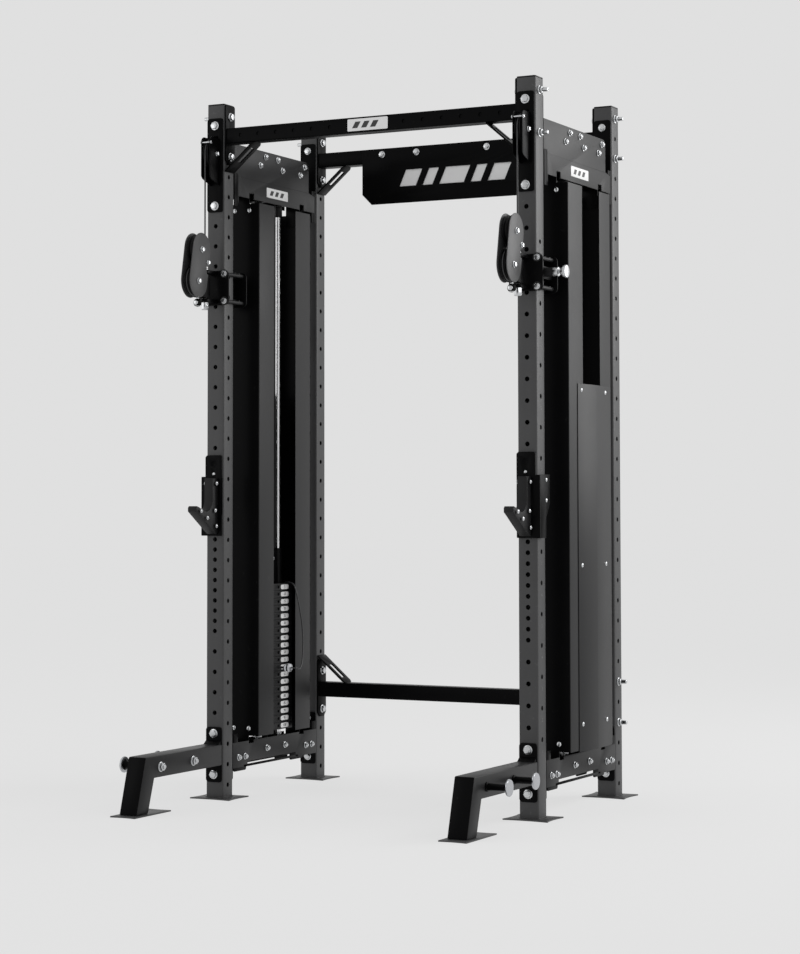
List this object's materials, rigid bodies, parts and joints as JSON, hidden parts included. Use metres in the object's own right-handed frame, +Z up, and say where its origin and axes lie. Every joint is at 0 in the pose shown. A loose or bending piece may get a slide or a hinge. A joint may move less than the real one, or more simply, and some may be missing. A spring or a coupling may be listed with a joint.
{
  "type": "cable crossover machine",
  "caption": "Rack-frame cable crossover: two weight-stack towers joined by beams, each with a sliding, swivelling pulley trolley, barbell cup and band-peg foot.",
  "frame": {"origin": "centre of the footprint, on the floor", "axes": "+Z up; +X to the right tower as seen from the front; +Y from the trolleys' side to the back"},
  "size_m": [1.602, 1.5204, 2.692],
  "materials": {
    "frame_paint": "satin black powder coat",
    "stack_paint": "semi-matt black paint",
    "chrome": "polished",
    "zinc": "bright zinc plate",
    "pulley_nylon": "smooth moulded nylon",
    "knob_plastic": "satin moulded plastic",
    "rubber": "matt",
    "cable_black": "nylon-coated steel cable"
  },
  "bodies": {
    "frame": {"upright_front_left": "frame_paint", "upright_front_right": "frame_paint", "upright_rear_left": "frame_paint", "upright_rear_right": "frame_paint", "top_beam_front": "frame_paint", "top_beam_rear": "frame_paint", "lower_beam_rear": "frame_paint", "sign_plate": "frame_paint", "top_pulley_bracket_right": "frame_paint", "tower_head_right": "frame_paint", "tower_base_right": "frame_paint", "shroud_front_right": "frame_paint", "shroud_rear_right": "frame_paint", "access_cover_right": "frame_paint", "guide_rod_front_right": "chrome", "guide_rod_rear_right": "chrome", "stack_resting_right": "stack_paint", "cable_top_right": "cable_black", "foot_right": "frame_paint", "top_pulley_bracket_left": "frame_paint", "tower_head_left": "frame_paint", "tower_base_left": "frame_paint", "shroud_front_left": "frame_paint", "shroud_rear_left": "frame_paint", "access_cover_left": "frame_paint", "guide_rod_front_left": "chrome", "guide_rod_rear_left": "chrome", "stack_resting_left": "stack_paint", "cable_top_left": "cable_black", "foot_left": "frame_paint"},
    "stack_right": {"stack_lifted_right": "stack_paint", "lanyard_right": "cable_black", "cable_stack_right": "cable_black"},
    "selector_pin_right": {"selector_pin_right": "zinc"},
    "floating_pulley_right": {"floating_pulley_right": "pulley_nylon"},
    "top_pulley_right": {"top_pulley_right": "pulley_nylon"},
    "head_pulley_right": {"head_pulley_right": "pulley_nylon"},
    "trolley_right": {"trolley_carriage_right": "frame_paint", "cable_front_right": "cable_black"},
    "pop_pin_right": {"pop_pin_right": "knob_plastic"},
    "housing_right": {"pulley_housing_right": "frame_paint", "ball_stop_right": "rubber"},
    "upper_pulley_right": {"trolley_pulley_upper_right": "pulley_nylon"},
    "lower_pulley_right": {"trolley_pulley_lower_right": "pulley_nylon"},
    "j_cup_right": {"j_cup_right": "frame_paint"},
    "stack_left": {"stack_lifted_left": "stack_paint", "lanyard_left": "cable_black", "cable_stack_left": "cable_black"},
    "selector_pin_left": {"selector_pin_left": "zinc"},
    "floating_pulley_left": {"floating_pulley_left": "pulley_nylon"},
    "top_pulley_left": {"top_pulley_left": "pulley_nylon"},
    "head_pulley_left": {"head_pulley_left": "pulley_nylon"},
    "trolley_left": {"trolley_carriage_left": "frame_paint", "cable_front_left": "cable_black"},
    "pop_pin_left": {"pop_pin_left": "knob_plastic"},
    "housing_left": {"pulley_housing_left": "frame_paint", "ball_stop_left": "rubber"},
    "upper_pulley_left": {"trolley_pulley_upper_left": "pulley_nylon"},
    "lower_pulley_left": {"trolley_pulley_lower_left": "pulley_nylon"},
    "j_cup_left": {"j_cup_left": "frame_paint"}
  },
  "joints": [
    {"name": "stack_lift_right", "type": "slide", "parent": "frame", "child": "stack_right", "axis": [0, 0, 1], "range_m": [0, 1.25], "deforming": ["cable_stack_right"]},
    {"name": "selector_pin_pull_right", "type": "slide", "parent": "stack_right", "child": "selector_pin_right", "axis": [-1, 0, 0], "range_m": [0, 0.06], "deforming": ["lanyard_right"]},
    {"name": "trolley_slide_right", "type": "slide", "parent": "frame", "child": "trolley_right", "axis": [0, 0, 1], "range_m": [-0.45, 0.1125], "deforming": ["cable_front_right"]},
    {"name": "pop_pin_pull_right", "type": "slide", "parent": "trolley_right", "child": "pop_pin_right", "axis": [1, 0, 0], "range_m": [0, 0.015], "stiffness_N_per_m": 400, "springref_m": -0.01},
    {"name": "housing_swivel_right", "type": "hinge", "parent": "trolley_right", "child": "housing_right", "pos_m": [0.656, -0.19075, 1.986], "axis": [0, 0, 1], "range_deg": [-90, 90]},
    {"name": "upper_pulley_spin_right", "type": "hinge", "parent": "housing_right", "child": "upper_pulley_right", "pos_m": [0.656, -0.24625, 2.109], "axis": [1, 0, 0], "continuous": true},
    {"name": "lower_pulley_spin_right", "type": "hinge", "parent": "housing_right", "child": "lower_pulley_right", "pos_m": [0.656, -0.27025, 1.986], "axis": [1, 0, 0], "continuous": true},
    {"name": "floating_pulley_spin_right", "type": "hinge", "parent": "stack_right", "child": "floating_pulley_right", "pos_m": [0.656, 0.30625, 0.915], "axis": [1, 0, 0], "continuous": true},
    {"name": "top_pulley_spin_right", "type": "hinge", "parent": "frame", "child": "top_pulley_right", "pos_m": [0.656, -0.13525, 2.492], "axis": [1, 0, 0], "continuous": true},
    {"name": "head_pulley_spin_right", "type": "hinge", "parent": "frame", "child": "head_pulley_right", "pos_m": [0.656, 0.19575, 2.486], "axis": [1, 0, 0], "continuous": true},
    {"name": "j_cup_pull_right", "type": "slide", "parent": "frame", "child": "j_cup_right", "axis": [0, -1, 0], "range_m": [0, 0.04]},
    {"name": "stack_lift_left", "type": "slide", "parent": "frame", "child": "stack_left", "axis": [0, 0, 1], "range_m": [0, 1.25], "deforming": ["cable_stack_left"]},
    {"name": "selector_pin_pull_left", "type": "slide", "parent": "stack_left", "child": "selector_pin_left", "axis": [1, 0, 0], "range_m": [0, 0.06], "deforming": ["lanyard_left"]},
    {"name": "trolley_slide_left", "type": "slide", "parent": "frame", "child": "trolley_left", "axis": [0, 0, 1], "range_m": [-0.45, 0.1125], "deforming": ["cable_front_left"]},
    {"name": "pop_pin_pull_left", "type": "slide", "parent": "trolley_left", "child": "pop_pin_left", "axis": [-1, 0, 0], "range_m": [0, 0.015], "stiffness_N_per_m": 400, "springref_m": -0.01},
    {"name": "housing_swivel_left", "type": "hinge", "parent": "trolley_left", "child": "housing_left", "pos_m": [-0.656, -0.19075, 1.986], "axis": [0, 0, 1], "range_deg": [-90, 90]},
    {"name": "upper_pulley_spin_left", "type": "hinge", "parent": "housing_left", "child": "upper_pulley_left", "pos_m": [-0.656, -0.24625, 2.109], "axis": [1, 0, 0], "continuous": true},
    {"name": "lower_pulley_spin_left", "type": "hinge", "parent": "housing_left", "child": "lower_pulley_left", "pos_m": [-0.656, -0.27025, 1.986], "axis": [1, 0, 0], "continuous": true},
    {"name": "floating_pulley_spin_left", "type": "hinge", "parent": "stack_left", "child": "floating_pulley_left", "pos_m": [-0.656, 0.30625, 0.915], "axis": [1, 0, 0], "continuous": true},
    {"name": "top_pulley_spin_left", "type": "hinge", "parent": "frame", "child": "top_pulley_left", "pos_m": [-0.656, -0.13525, 2.492], "axis": [1, 0, 0], "continuous": true},
    {"name": "head_pulley_spin_left", "type": "hinge", "parent": "frame", "child": "head_pulley_left", "pos_m": [-0.656, 0.19575, 2.486], "axis": [1, 0, 0], "continuous": true},
    {"name": "j_cup_pull_left", "type": "slide", "parent": "frame", "child": "j_cup_left", "axis": [0, -1, 0], "range_m": [0, 0.04]}
  ],
  "couplings": [
    {"joint": "head_pulley_spin_right", "follows": "stack_lift_right", "rad_per_m": 36.036},
    {"joint": "top_pulley_spin_right", "follows": "stack_lift_right", "rad_per_m": 36.036},
    {"joint": "floating_pulley_spin_right", "follows": "stack_lift_right", "rad_per_m": 18.018},
    {"joint": "upper_pulley_spin_right", "follows": "stack_lift_right", "rad_per_m": -36.036},
    {"joint": "lower_pulley_spin_right", "follows": "stack_lift_right", "rad_per_m": 36.036},
    {"joint": "head_pulley_spin_left", "follows": "stack_lift_left", "rad_per_m": 36.036},
    {"joint": "top_pulley_spin_left", "follows": "stack_lift_left", "rad_per_m": 36.036},
    {"joint": "floating_pulley_spin_left", "follows": "stack_lift_left", "rad_per_m": 18.018},
    {"joint": "upper_pulley_spin_left", "follows": "stack_lift_left", "rad_per_m": -36.036},
    {"joint": "lower_pulley_spin_left", "follows": "stack_lift_left", "rad_per_m": 36.036}
  ]
}
